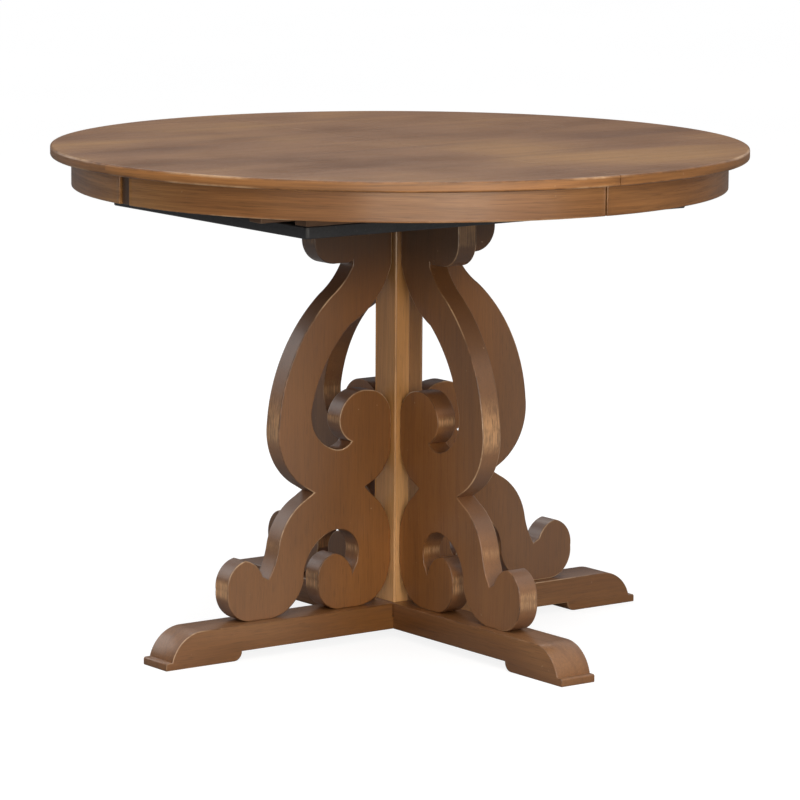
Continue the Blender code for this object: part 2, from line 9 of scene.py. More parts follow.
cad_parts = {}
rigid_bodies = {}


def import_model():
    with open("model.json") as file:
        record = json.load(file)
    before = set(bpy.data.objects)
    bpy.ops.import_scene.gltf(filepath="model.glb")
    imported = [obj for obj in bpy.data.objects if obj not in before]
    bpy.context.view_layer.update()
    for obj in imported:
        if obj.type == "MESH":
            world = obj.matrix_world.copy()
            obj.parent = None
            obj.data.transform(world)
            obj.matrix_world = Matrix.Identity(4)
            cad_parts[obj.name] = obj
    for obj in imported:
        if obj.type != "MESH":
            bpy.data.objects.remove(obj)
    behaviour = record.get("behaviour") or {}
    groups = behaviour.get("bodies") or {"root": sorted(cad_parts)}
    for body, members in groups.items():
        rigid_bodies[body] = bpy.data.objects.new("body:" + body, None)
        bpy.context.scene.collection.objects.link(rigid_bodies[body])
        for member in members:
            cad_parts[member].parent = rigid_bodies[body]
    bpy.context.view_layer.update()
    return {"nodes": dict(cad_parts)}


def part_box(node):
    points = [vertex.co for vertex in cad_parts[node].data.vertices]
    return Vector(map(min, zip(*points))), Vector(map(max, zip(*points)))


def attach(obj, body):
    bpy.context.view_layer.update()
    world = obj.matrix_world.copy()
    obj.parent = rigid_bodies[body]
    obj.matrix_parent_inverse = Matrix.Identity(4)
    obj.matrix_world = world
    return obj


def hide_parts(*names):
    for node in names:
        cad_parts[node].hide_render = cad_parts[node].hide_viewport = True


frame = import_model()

bl_info = {
    "name": "Round pedestal table",
    "version": (1, 0, 0),
    "blender": (4, 5, 0),
    "location": "View3D > Sidebar > Table",
    "description": "A round extension table on four scroll brackets, in stained hardwood",
    "category": "Object",
}

SIDES = {"back": 0.0, "left": math.pi / 2, "front": math.pi, "right": -math.pi / 2}
ENDS = {"front": -1, "back": 1}
HANDS = ("left", "right")

# The bracket's outline in millimetres, out from the post face and up from the beam: a straight
# run to a point, or an arc through one point to another.
BRACKET_HEIGHT = 610.5
BRACKET_REACH = 302.7
BRACKET_RUNS = [
    ((145, 610.5),), ((145, 571.5),), ((134, 545), (104, 534)), ((80, 534),), ((72.5, 537.5),),
    ((73, 529.5),), ((87, 508.5), (112, 485.5)), ((177, 405.5), (209, 295.5)),
    ((195, 229.5), (157, 193.5)), ((144, 185.5),), ((159, 176.5),), ((192, 148.5), (210, 105.5)),
    ((217, 81.5), (228, 60.5)), ((239, 66.5),), ((249, 82.5), (270, 94)),
    ((295, 78.5), (302.7, 48.5)), ((292, 14.5), (260, 0)), ((221, 0),), ((184, 16.5), (163, 51.5)),
    ((143, 103.5), (103, 124)), ((71, 111.5), (61, 88.5)), ((63, 70.5),), ((72, 53.5),),
    ((83, 75.5), (104, 87)), ((129, 74.5), (136, 46.5)), ((126, 13.5), (99, 0)), ((63, 0),),
    ((22, 15.5), (3, 50.5)), ((0, 63.5),), ((0, 93.5),), ((13, 148.5), (35, 171.5)),
    ((49, 185.5),), ((28, 196),), ((8, 218.5), (0, 250.5)), ((0, 290.5),), ((12, 321.5), (42, 335)),
    ((83, 322.5), (97, 294.5)), ((91, 272.5), (74, 258)), ((88, 249), (110, 250.5)),
    ((138, 270.5), (149, 311.5)), ((128, 372.5), (75, 440.5)), ((25, 479.5), (0, 527.5)),
]


# Light of the stage: softboxes as azimuth, height, distance, width, height, brightness and tint
SOFTBOXES = {
    "key_softbox": (-28.0, 0.95, 3.3, 2.4, 1.8, 3.85, (1.0, 0.91, 0.78)),
    "front_softbox": (0.0, 0.95, 3.5, 2.0, 1.8, 1.65, (1.0, 0.97, 0.92)),
    "right_softbox": (45.0, 1.2, 3.0, 1.6, 1.6, 0.15, (1.0, 1.0, 1.0)),
    "left_softbox": (-66.0, 1.0, 3.3, 1.6, 1.6, 0.42, (1.0, 0.99, 0.97)),
    "top_softbox": (-30.0, 3.4, 1.8, 1.6, 1.4, 5.3, (1.0, 1.0, 1.0)),
    "high_softbox": (150.0, 3.2, 2.4, 2.2, 1.6, 2.3, (1.0, 0.97, 0.92)),
    "back_softbox": (-160.0, 1.6, 3.8, 2.4, 1.8, 1.4, (0.98, 0.99, 1.0)),
    "far_softbox": (105.0, 1.5, 3.4, 1.8, 1.8, 0.7, (1.0, 1.0, 1.0)),
}
# Light of the room round the softboxes, for everything but what the camera sees directly
WALL_LIGHT = (0.035, 0.035, 0.038, 1.0)
CEILING_LIGHT = (0.72, 0.72, 0.73, 1.0)
FLOOR_GLOW = 0.86

# The camera: its spot in metres, its turns in degrees and its lens in millimetres
CAMERA_SPOT = (-3.938, -5.341, 1.4365)
CAMERA_HEADING = -36.42
CAMERA_TILT = 9.172
CAMERA_ROLL = 0.337
CAMERA_LENS = 196.11

# The beams, in metres: the gap in the lap joint, the pad at each end, the toe that curves down
# to a lip, and the bores for the screws and the post bolt, each a radius and a length
BOARD_GAP = 0.0003
PAD_LENGTH = 0.137
PAD_HEIGHT = 0.014
TOE_LENGTH = 0.065
TOE_RADIUS = 0.0554
LIP_LENGTH = 0.011
LIP_HEIGHT = 0.012
LIP_ROUND = 0.003
BEAM_SCREW_REACH = 0.262
BEAM_SCREW_BORE = (0.0063, 0.012)
BEAM_BOLT_BORE = (0.0121, 0.014)

# Eased edges, in metres, and half the width of the glue line down the post
APRON_ARRIS = 0.0016
POST_ARRIS = 0.0022
SPLICE_ARRIS = 0.0008
PLATE_ARRIS = 0.0010
LEVER_ARRIS = 0.0004
SEAM_HALF_WIDTH = 0.0007

# Hardware: radii in metres, and how many turns and grooves
WASHER_BORE = 0.0053
WASHER_ROUND = 0.0004
PIN_RINGS = 6
SCREW_TURNS = 9

# Painted shade under the top: the height at which the wood starts to darken towards the top, and
# where it is darkest
SHADE_UNDER_TOP = (0.50, 0.64)


# Sizes and colours


class TableSizes(bpy.types.PropertyGroup):
    arris: FloatProperty(
        name="Worn arris", description="Radius of the sanded edges of the pedestal",
        default=0.0016, min=0.0005, max=0.0040, unit="LENGTH",
    )
    rim_round: FloatProperty(
        name="Rim round", description="Radius of the top's outer rim edges",
        default=0.0032, min=0.0010, max=0.0060, unit="LENGTH",
    )
    seam_ease: FloatProperty(
        name="Seam ease", description="Radius of the two edges that meet at the seam",
        default=0.0012, min=0.0003, max=0.0030, unit="LENGTH",
    )
    light_ease: FloatProperty(
        name="Inner ease", description="Radius of the edges of rails, bars and blocks",
        default=0.0010, min=0.0003, max=0.0030, unit="LENGTH",
    )
    wear_width: FloatProperty(
        name="Wear width", description="How far the rubbed stain reaches in from an edge",
        default=0.0012, min=0.0005, max=0.0060, unit="LENGTH",
    )
    curve_step: FloatProperty(
        name="Curve step", description="Length of one facet along a sawn curve",
        default=0.0035, min=0.0010, max=0.0100, unit="LENGTH",
    )
    rim_steps: IntProperty(
        name="Rim steps", description="Facets round half of the top", default=144, min=48, max=360,
    )


class TableColours(bpy.types.PropertyGroup):
    stain: FloatVectorProperty(
        name="Stain", description="Main colour of the stained pedestal",
        default=(0.212, 0.084, 0.021), size=3, min=0.0, max=1.0, subtype="COLOR",
    )
    stain_deep: FloatVectorProperty(
        name="Deep stain", description="Colour of the grain where the stain sank in",
        default=(0.115, 0.040, 0.012), size=3, min=0.0, max=1.0, subtype="COLOR",
    )
    stain_glow: FloatVectorProperty(
        name="Golden stain", description="Colour where the stain lies thin",
        default=(0.420, 0.205, 0.075), size=3, min=0.0, max=1.0, subtype="COLOR",
    )
    # Partly painted highlight: the rubbed wood on the arrises is pale enough to stand in also for
    # the highlight on the rounded edges
    bare_wood_and_highlight: FloatVectorProperty(
        name="Rubbed and highlit wood", description="Colour of the wood where the stain is rubbed off",
        default=(0.700, 0.470, 0.280), size=3, min=0.0, max=1.0, subtype="COLOR",
    )
    top_stain: FloatVectorProperty(
        name="Top stain", description="Main colour of the table top",
        default=(0.245, 0.107, 0.036), size=3, min=0.0, max=1.0, subtype="COLOR",
    )
    rim_stain: FloatVectorProperty(
        name="Rim stain", description="Colour of the rim and the apron",
        default=(0.310, 0.135, 0.042), size=3, min=0.0, max=1.0, subtype="COLOR",
    )
    # Partly painted shade: a dark stain made darker still, so that the rails and bars under the top
    # stand in for their shadow
    slide_wood: FloatVectorProperty(
        name="Slide wood", description="Main colour of the rails and bars under the top",
        default=(0.120, 0.062, 0.030), size=3, min=0.0, max=1.0, subtype="COLOR",
    )
    black_paint: FloatVectorProperty(
        name="Black paint", description="Paint on the mounting plate",
        default=(0.020, 0.021, 0.024), size=3, min=0.0, max=1.0, subtype="COLOR",
    )


# Handling pieces


def set_down():
    """Puts the place, turn and scale of the selected piece into its mesh."""
    bpy.ops.object.transform_apply(location=True, rotation=True, scale=True)


def take(name):
    """Names the piece that the last operator made, and sets it down."""
    piece = bpy.context.object
    piece.name = name
    piece.data.name = name
    set_down()
    return piece


def only(piece):
    """Makes the piece the only one selected."""
    bpy.ops.object.select_all(action="DESELECT")
    piece.select_set(True)
    bpy.context.view_layer.objects.active = piece


def open_mesh(piece):
    only(piece)
    bpy.ops.object.mode_set(mode="EDIT")
    bpy.ops.mesh.select_mode(type="VERT")
    bpy.ops.mesh.select_all(action="SELECT")


def close_mesh():
    bpy.ops.object.mode_set(mode="OBJECT")


def choose(piece, kind, test):
    """In edit mode, selects the vertices, edges or faces that pass the test, and nothing else."""
    bpy.ops.mesh.select_mode(type=kind)
    bpy.ops.mesh.select_all(action="DESELECT")
    mesh = bmesh.from_edit_mesh(piece.data)
    mesh.normal_update()
    for part in {"VERT": mesh.verts, "EDGE": mesh.edges, "FACE": mesh.faces}[kind]:
        if test(part):
            part.select_set(True)
    mesh.select_flush_mode()
    bmesh.update_edit_mesh(piece.data)


def face_out():
    bpy.ops.mesh.select_all(action="SELECT")
    bpy.ops.mesh.remove_doubles(threshold=1e-6)
    bpy.ops.mesh.normals_make_consistent(inside=False)


def is_corner(edge, least=math.radians(38)):
    return len(edge.link_faces) == 2 and edge.calc_face_angle(0.0) > least


def ease(piece, width, test, segments=3, border=0.3):
    """Rounds the chosen edges, and notes the rounded strip as worn along its middle."""
    choose(piece, "EDGE", test)
    bpy.ops.mesh.bevel(
        offset=width, offset_type="OFFSET", segments=segments, profile=0.5, affect="EDGES",
        clamp_overlap=True,
    )
    mesh = bmesh.from_edit_mesh(piece.data)
    worn = mesh.verts.layers.float.get("worn") or mesh.verts.layers.float.new("worn")
    strip = mesh.faces.layers.int.get("strip") or mesh.faces.layers.int.new("strip")
    for face in mesh.faces:
        if face.select and face.calc_area() < width * face.calc_perimeter():
            face[strip] = 1
        elif face.select:
            face.select_set(False)
    for vertex in mesh.verts:
        bordering = [face[strip] for face in vertex.link_faces]
        if any(bordering):
            vertex[worn] = 1.0 if all(bordering) else border
    bmesh.update_edit_mesh(piece.data)


def feather(piece, width):
    """Insets the faces beside the rounded strips, so that the wear fades out over that width."""
    mesh = bmesh.from_edit_mesh(piece.data)
    strip = mesh.faces.layers.int["strip"]
    choose(piece, "FACE", lambda face: not face[strip])
    bpy.ops.mesh.inset(thickness=width, use_even_offset=True)
    mesh = bmesh.from_edit_mesh(piece.data)
    worn = mesh.verts.layers.float["worn"]
    for face in mesh.faces:
        if face.select:
            for vertex in face.verts:
                vertex[worn] = 0.0
    bmesh.update_edit_mesh(piece.data)


def mark_sawn(piece):
    """Notes the sawn edge of a board: 1 where the grain runs along it, -1 at end grain. The
    board stands in the XZ plane with its grain along Z."""
    mesh = bmesh.from_edit_mesh(piece.data)
    strip = mesh.faces.layers.int["strip"]
    sawn_edge = mesh.verts.layers.float.new("sawn")
    for face in mesh.faces:
        if face.select and abs(face.normal.y) < 0.5 and not face[strip]:
            along = 1.0 - min(1.0, abs(face.normal.z) / 0.62) * 2.0
            for vertex in face.verts:
                vertex[sawn_edge] = along
    bmesh.update_edit_mesh(piece.data)


def polish(piece, angle=32):
    """Closes the mesh and shades it round, but for its corners."""
    close_mesh()
    only(piece)
    bpy.ops.object.shade_smooth_by_angle(angle=math.radians(angle))


def settle(piece, body, slot, material, *nodes):
    """The finish of the piece, the body it moves with and the CAD nodes it stands for."""
    piece.data.materials.clear()
    piece.data.materials.append(bpy.data.materials[material])
    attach(piece, body)
    if nodes:
        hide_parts(*nodes)


def body_of(node):
    return frame["nodes"][node].parent.name.split(":")[1]


def turned_copy(piece, name, heading):
    """A copy of the piece with its own mesh, turned about the table's middle."""
    only(piece)
    bpy.ops.object.duplicate(linked=False)
    bpy.context.object.rotation_euler[2] = heading
    return take(name)


# Drawing shapes


def arc_centre(start, via, end):
    """The centre of the circle through three points and the turn from the first to the last."""
    (ax, ay), (bx, by), (cx, cy) = start, via, end
    double_area = 2 * (ax * (by - cy) + bx * (cy - ay) + cx * (ay - by))
    a2, b2, c2 = ax * ax + ay * ay, bx * bx + by * by, cx * cx + cy * cy
    mx = (a2 * (by - cy) + b2 * (cy - ay) + c2 * (ay - by)) / double_area
    my = (a2 * (cx - bx) + b2 * (ax - cx) + c2 * (bx - ax)) / double_area
    first = math.atan2(ay - my, ax - mx)
    middle = (math.atan2(by - my, bx - mx) - first) % math.tau
    turn = (math.atan2(cy - my, cx - mx) - first) % math.tau
    if middle > turn:
        turn -= math.tau
    return (mx, my), turn


def single_point(name, x, y, z):
    """A piece of one vertex, open for drawing an outline from there."""
    bpy.ops.object.select_all(action="DESELECT")
    bpy.ops.mesh.primitive_plane_add(size=0.01)
    piece = take(name)
    open_mesh(piece)
    bpy.ops.mesh.merge(type="CENTER")
    bpy.ops.transform.translate(value=(x, y, z))
    return piece


def sawn(name, start, runs, near, width, step):
    """A board sawn to an outline. The outline stands in the XZ plane at y = near, and is drawn
    from one point: a straight run is extruded and an arc is spun. The board is width thick."""
    piece = single_point(name, start[0], near, start[1])
    here = start
    for run in runs:
        end = run[-1]
        if len(run) == 1:
            move = (end[0] - here[0], 0.0, end[1] - here[1])
            bpy.ops.mesh.extrude_vertices_move(TRANSFORM_OT_translate={"value": move})
        else:
            centre, turn = arc_centre(here, *run)
            length = abs(turn) * math.dist(centre, here)
            steps = max(3, math.ceil(length / step))
            bpy.ops.mesh.spin(
                steps=steps, angle=turn, center=(centre[0], near, centre[1]), axis=(0, 1, 0)
            )
        here = end
    bpy.ops.mesh.select_all(action="SELECT")
    bpy.ops.mesh.remove_doubles(threshold=1e-5)
    bpy.ops.mesh.edge_face_add()
    bpy.ops.mesh.select_mode(type="FACE")
    bpy.ops.mesh.select_all(action="SELECT")
    bpy.ops.mesh.extrude_region_move(TRANSFORM_OT_translate={"value": (0.0, width, 0.0)})
    face_out()
    return piece


def lathed(name, profile, spot, steps=32):
    """The profile of (radius, height) points from axis to axis, turned about an upright axis."""
    piece = single_point(name, spot[0] + profile[0][0], spot[1], spot[2] + profile[0][1])
    for (r0, z0), (r1, z1) in zip(profile, profile[1:]):
        bpy.ops.mesh.extrude_vertices_move(
            TRANSFORM_OT_translate={"value": (r1 - r0, 0.0, z1 - z0)}
        )
    bpy.ops.mesh.select_all(action="SELECT")
    bpy.ops.mesh.spin(steps=steps, angle=math.tau, center=spot, axis=(0, 0, 1))
    face_out()
    return piece


def bored(piece, drills):
    """Bores round holes. Each drill is its middle, radius and length, along Z."""
    for middle, radius, length in drills:
        bpy.ops.object.select_all(action="DESELECT")
        bpy.ops.mesh.primitive_cylinder_add(
            vertices=32, radius=radius, depth=length, location=middle
        )
        drill = take("drill")
        only(piece)
        cut = piece.modifiers.new("Bore", "BOOLEAN")
        cut.operation = "DIFFERENCE"
        cut.solver = "EXACT"
        cut.object = drill
        bpy.ops.object.modifier_apply(modifier=cut.name)
        bpy.data.objects.remove(drill, do_unlink=True)


def fine_copy(node, name, width, long_edge=0.004):
    """A copy of a CAD node whose outer corners are eased and worn."""
    bpy.ops.object.select_all(action="DESELECT")
    mesh = frame["nodes"][node].data.copy()
    piece = bpy.data.objects.new(name, mesh)
    mesh.name = name
    bpy.context.scene.collection.objects.link(piece)
    open_mesh(piece)
    bpy.ops.mesh.remove_doubles(threshold=1e-5)
    bpy.ops.mesh.select_mode(type="FACE")
    bpy.ops.mesh.select_all(action="SELECT")
    bpy.ops.mesh.dissolve_limited(angle_limit=math.radians(1.0))
    ease(
        piece, width,
        lambda e: is_corner(e) and e.is_convex and e.calc_length() > long_edge,
        border=0.0,
    )
    polish(piece, 18)
    return piece


# Materials


def node(tree, kind, values=(), named=None, **settings):
    """A shader node with its settings and inputs. A socket is linked and a value is set."""
    made = tree.nodes.new("ShaderNode" + kind)
    for key, value in settings.items():
        setattr(made, key, value)
    for key, value in [*enumerate(values), *(named or {}).items()]:
        if isinstance(value, bpy.types.NodeSocket):
            tree.links.new(value, made.inputs[key])
        elif value is not None:
            made.inputs[key].default_value = value
    return made


def maths(tree, operation, *values):
    return node(tree, "Math", values, operation=operation).outputs[0]


def mixed(tree, factor, first, second, blend="MIX"):
    """Two colours mixed."""
    made = node(
        tree, "Mix", named={0: factor, 6: first, 7: second}, data_type="RGBA", blend_type=blend
    )
    return made.outputs[2]


def stretched(tree, vector, scale, location=(0.0, 0.0, 0.0)):
    return node(tree, "Mapping", (vector, location, (0.0, 0.0, 0.0), scale)).outputs[0]


def noted(tree, name):
    """What the mesh notes under a name."""
    return node(tree, "Attribute", attribute_name=name).outputs["Fac"]


def grey(tree, value):
    return node(tree, "CombineColor", (value, value, value)).outputs[0]


def noise(tree, vector, scale, detail=2.0, roughness=0.5, distortion=0.0):
    named = {
        "Vector": vector, "Scale": scale, "Detail": detail,
        "Roughness": roughness, "Distortion": distortion,
    }
    return node(tree, "TexNoise", named=named).outputs[0]


def ramp(tree, value, low, high, to_low=0.0, to_high=1.0):
    """The value stretched from low and high to two other numbers, with a soft start and end."""
    return node(
        tree, "MapRange", (value, low, high, to_low, to_high), interpolation_type="SMOOTHSTEP"
    ).outputs[0]


def group(name, inputs, outputs):
    """An empty shader group with its sockets. Inputs are (name, kind, value)."""
    tree = bpy.data.node_groups.new(name, "ShaderNodeTree")
    for label, kind, value in inputs:
        socket = tree.interface.new_socket(label, in_out="INPUT", socket_type="NodeSocket" + kind)
        if value is not None:
            socket.default_value = value
    for label, kind in outputs:
        tree.interface.new_socket(label, in_out="OUTPUT", socket_type="NodeSocket" + kind)
    return tree, tree.nodes.new("NodeGroupInput").outputs, tree.nodes.new("NodeGroupOutput").inputs


def shared(tree, name, *values):
    """The outputs of a shared effect, fed with the values."""
    return node(tree, "Group", values, node_tree=bpy.data.node_groups[name]).outputs


def grain_group():
    """Stained open-grained hardwood. Lengthwise is a place in metres, with X along the grain."""
    tree, given, put = group(
        "Stained grain",
        [
            ("Lengthwise", "Vector", None), ("Stain", "Color", (0.25, 0.12, 0.05, 1.0)),
            ("Deep", "Color", (0.1, 0.05, 0.02, 1.0)), ("Golden", "Color", (0.4, 0.2, 0.08, 1.0)),
            ("Figure", "Float", 0.5), ("Pores", "Float", 0.5), ("Clouding", "Float", 0.5),
        ],
        [("Color", "Color"), ("Roughness", "Float"), ("Height", "Float")],
    )
    place = given["Lengthwise"]
    drift = noise(tree, stretched(tree, place, (1.0, 3.0, 3.0)), 1.6, 1.0)
    drift = node(tree, "CombineXYZ", (0.0, maths(tree, "MULTIPLY", drift, 0.05), 0.0)).outputs[0]
    warped = node(tree, "VectorMath", (place, drift), operation="ADD").outputs[0]
    bands = node(
        tree, "TexWave",
        named={
            "Vector": stretched(tree, warped, (0.10, 1.0, 0.35)), "Scale": 7.5, "Distortion": 7.0,
            "Detail": 3.0, "Detail Scale": 2.2, "Detail Roughness": 0.55,
        },
        wave_type="BANDS", bands_direction="Y", wave_profile="SIN",
    ).outputs[1]
    broad = noise(tree, stretched(tree, warped, (1.1, 16.0, 16.0)), 1.0, 3.0, 0.55)
    streaks = noise(tree, stretched(tree, warped, (5.0, 260.0, 260.0)), 1.0, 3.0, 0.6)
    pores = noise(tree, stretched(tree, warped, (26.0, 1150.0, 1150.0)), 1.0, 1.0)
    pores = ramp(tree, pores, 0.57, 0.70)
    clouds = noise(tree, stretched(tree, place, (2.4, 5.0, 5.0), (4.0, 1.0, 2.0)), 1.0, 2.0, 0.45)
    figure = maths(tree, "MULTIPLY", ramp(tree, bands, 0.45, 1.0), 0.45)
    figure = maths(tree, "ADD", figure, ramp(tree, broad, 0.45, 0.72, 0.0, 0.55))
    figure = maths(tree, "MULTIPLY", figure, given["Figure"])
    golden = maths(tree, "MULTIPLY", ramp(tree, clouds, 0.48, 0.70), given["Clouding"])
    colour = mixed(tree, golden, given["Stain"], given["Golden"])
    dull = maths(tree, "MULTIPLY", ramp(tree, clouds, 0.50, 0.30), given["Clouding"])
    colour = mixed(tree, maths(tree, "MULTIPLY", dull, 0.55), colour, given["Deep"])
    colour = mixed(tree, figure, colour, given["Deep"])
    thread = maths(tree, "MULTIPLY", ramp(tree, streaks, 0.30, 0.70, -0.24, 0.24), given["Figure"])
    thread = maths(tree, "ADD", thread, 1.0)
    colour = mixed(tree, 1.0, colour, grey(tree, thread), "MULTIPLY")
    sunk = maths(tree, "MULTIPLY", pores, given["Pores"])
    colour = mixed(tree, sunk, colour, (0.035, 0.016, 0.008, 1.0))
    tree.links.new(colour, put["Color"])
    rough = ramp(tree, clouds, 0.3, 0.7, 0.34, 0.47)
    rough = maths(tree, "ADD", rough, maths(tree, "MULTIPLY", sunk, 0.25))
    rough = maths(tree, "ADD", rough, maths(tree, "MULTIPLY", figure, 0.10))
    tree.links.new(rough, put["Roughness"])
    height = maths(tree, "MULTIPLY", streaks, 0.35)
    height = maths(tree, "SUBTRACT", height, sunk)
    height = maths(tree, "ADD", height, maths(tree, "MULTIPLY", broad, 1.6))
    tree.links.new(height, put["Height"])


def wear_group():
    """Where a finish is rubbed through: on arrises, unevenly, and in a few small dings."""
    tree, given, put = group(
        "Rubbed arris",
        [("Place", "Vector", None), ("Worn", "Float", 0.0), ("Amount", "Float", 0.5)],
        [("Mask", "Float"), ("Soft", "Float")],
    )
    uneven = noise(tree, given["Place"], 34.0, 3.0, 0.65)
    long_runs = noise(tree, given["Place"], 6.0, 2.0, 0.5)
    runs = ramp(tree, long_runs, 0.47, 0.62)
    level = maths(tree, "MULTIPLY", given["Worn"], runs)
    level = maths(tree, "MULTIPLY", level, ramp(tree, uneven, 0.32, 0.60, 0.25, 1.0))
    dings = noise(tree, given["Place"], 120.0, 1.0)
    level = maths(tree, "ADD", level, ramp(tree, dings, 0.77, 0.81, 0.0, 0.22))
    tree.links.new(maths(tree, "MULTIPLY", level, given["Amount"]), put["Mask"])
    # Soft: the stretches of arris that are not rubbed through, darkened in thin lines
    darkened_arris = maths(tree, "MULTIPLY", given["Worn"], maths(tree, "SUBTRACT", 1.0, runs))
    darkened_arris = maths(tree, "MULTIPLY", darkened_arris, ramp(tree, uneven, 0.62, 0.38))
    tree.links.new(maths(tree, "MULTIPLY", darkened_arris, given["Amount"]), put["Soft"])


def rub_group():
    """Uneven roughness from hands, cloths and dust."""
    tree, given, put = group(
        "Handled surface",
        [("Place", "Vector", None), ("Low", "Float", 0.3), ("High", "Float", 0.5)],
        [("Roughness", "Float"), ("Dust", "Float")],
    )
    broad = noise(tree, given["Place"], 9.0, 3.0, 0.6)
    fine = noise(tree, given["Place"], 160.0, 2.0, 0.6)
    level = node(tree, "Mix", named={0: 0.3, 2: broad, 3: fine}).outputs[0]
    level = ramp(tree, level, 0.35, 0.65)
    spread = maths(tree, "SUBTRACT", given["High"], given["Low"])
    rough = maths(tree, "ADD", given["Low"], maths(tree, "MULTIPLY", level, spread))
    tree.links.new(rough, put["Roughness"])
    tree.links.new(ramp(tree, fine, 0.60, 0.80), put["Dust"])


def round_group():
    """A place whose X runs round the table's rim, Y up the rim and Z outwards."""
    tree, given, put = group(
        "Round the rim", [("Place", "Vector", None)], [("Lengthwise", "Vector")]
    )
    part = node(tree, "SeparateXYZ", (given["Place"],)).outputs
    turn = maths(tree, "MULTIPLY", maths(tree, "ARCTAN2", part[1], part[0]), 0.5)
    flat = node(tree, "CombineXYZ", (part[0], part[1], 0.0)).outputs[0]
    out = node(tree, "VectorMath", (flat,), operation="LENGTH").outputs[1]
    joined = node(tree, "CombineXYZ", (turn, part[2], out)).outputs[0]
    tree.links.new(joined, put["Lengthwise"])


def place_of(tree):
    return node(tree, "TexCoord").outputs["Object"]


def new_material(name, **constants):
    """A material, its tree and its shader, with constants on the shader's own sockets."""
    made = bpy.data.materials.new(name)
    made.use_nodes = True
    tree = made.node_tree
    shader = tree.nodes["Principled BSDF"]
    for label, value in constants.items():
        shader.inputs[label.replace("_", " ")].default_value = value
    return tree, shader


def rgba(colour, gain=1.0):
    return (colour[0] * gain, colour[1] * gain, colour[2] * gain, 1.0)


GRAIN_TURNS = {
    "X": (0.0, 0.0, 0.0),
    "Y": (0.0, 0.0, -math.pi / 2),
    "Z": (0.0, math.pi / 2, 0.0),
}


def stained(name, grain, stain, deep, golden, bare_and_highlight, figure=0.3, pores=0.3, clouding=0.5,
            wear=0.6, lift=0.0005, staves=None, rim=None, edge=None, painted_sheen=0.0, painted_shade=None,
            coat=0.6):
    """Stained hardwood with its grain along an axis, or round the rim. Rim and edge are the colours
    of the top's rim and of a sawn edge, staves are the tones of the two staves of a glued post, and
    the painted shade is a stretch of height over which the colour darkens towards the top, standing
    in for the shadow under the top."""
    tree, shader = new_material(name, Coat_Weight=coat, Coat_Roughness=0.24, Coat_IOR=1.5, IOR=1.45)
    place = place_of(tree)
    if grain == "ROUND":
        lengthwise = shared(tree, "Round the rim", place)[0]
    else:
        lengthwise = node(tree, "Mapping", (place, None, GRAIN_TURNS[grain])).outputs[0]
    wood = shared(
        tree, "Stained grain", lengthwise, rgba(stain), rgba(deep), rgba(golden),
        figure, pores, clouding,
    )
    colour, rough, height = wood
    if rim:
        around = shared(tree, "Round the rim", place)[0]
        band = shared(
            tree, "Stained grain", around, rgba(rim), rgba(rim, 0.5), rgba(rim, 1.5),
            0.7, 0.3, 0.9,
        )
        colour = mixed(tree, noted(tree, "rim"), colour, band[0])
    if edge:
        cut = noted(tree, "sawn")
        layers = noise(tree, stretched(tree, place, (420.0, 420.0, 9.0)), 1.0, 3.0, 0.65)
        patches = noise(tree, place, 26.0, 3.0, 0.6)
        layers = maths(tree, "ADD", layers, maths(tree, "MULTIPLY", patches, 0.6))
        layers = ramp(tree, layers, 0.62, 0.98)
        streaky = mixed(tree, layers, rgba(edge, 0.50), rgba(edge, 1.50))
        colour = mixed(tree, ramp(tree, cut, 0.05, 0.9, 0.0, 0.85), colour, streaky)
        colour = mixed(tree, ramp(tree, cut, -0.1, -0.9, 0.0, 0.45), colour, rgba(deep))
    # Painted sheen: the colour greys away from the table's middle, standing in for the veil of
    # reflected light on the outer faces
    if painted_sheen:
        near = node(tree, "Mapping", (place, None, None, (1.0, 1.0, 0.0))).outputs[0]
        reach = node(tree, "VectorMath", (near,), operation="LENGTH").outputs[1]
        sheen_veil = maths(tree, "MULTIPLY", ramp(tree, reach, 0.07, 0.24), painted_sheen)
        colour = mixed(tree, sheen_veil, colour, rgba((0.56, 0.46, 0.38)))
    # Painted shade: darker towards the top, standing in for the shadow that the top casts on the
    # pedestal
    if painted_shade:
        level = node(tree, "SeparateXYZ", (place,)).outputs[2]
        painted_shade_factor = ramp(tree, level, painted_shade[0], painted_shade[1], 1.0, 0.30)
        colour = mixed(tree, 1.0, colour, grey(tree, painted_shade_factor), "MULTIPLY")
    if staves:
        side = node(tree, "SeparateXYZ", (place,)).outputs[0]
        side = ramp(tree, side, -0.0006, 0.0006)
        tone = mixed(tree, side, rgba(staves[0]), rgba(staves[1]))
        colour = mixed(tree, 1.0, colour, tone, "MULTIPLY")
    rubbed = shared(tree, "Rubbed arris", place, noted(tree, "worn"), wear)
    # Arrises that are not rubbed through are darkened in thin lines
    darkened_arris = maths(tree, "MULTIPLY", rubbed[1], 0.7)
    colour = mixed(tree, darkened_arris, colour, (0.03, 0.014, 0.008, 1.0))
    # Rubbed arrises turn pale: real wear, and in part a painted highlight on the rounded edges
    colour = mixed(tree, rubbed[0], colour, rgba(bare_and_highlight))
    tree.links.new(colour, shader.inputs["Base Color"])
    handled = shared(tree, "Handled surface", place, -0.05, 0.07)
    rough = maths(tree, "ADD", rough, handled[0])
    tree.links.new(rough, shader.inputs["Roughness"])
    bump = node(tree, "Bump", named={"Strength": 0.35, "Distance": lift, "Height": height})
    tree.links.new(bump.outputs[0], shader.inputs["Normal"])


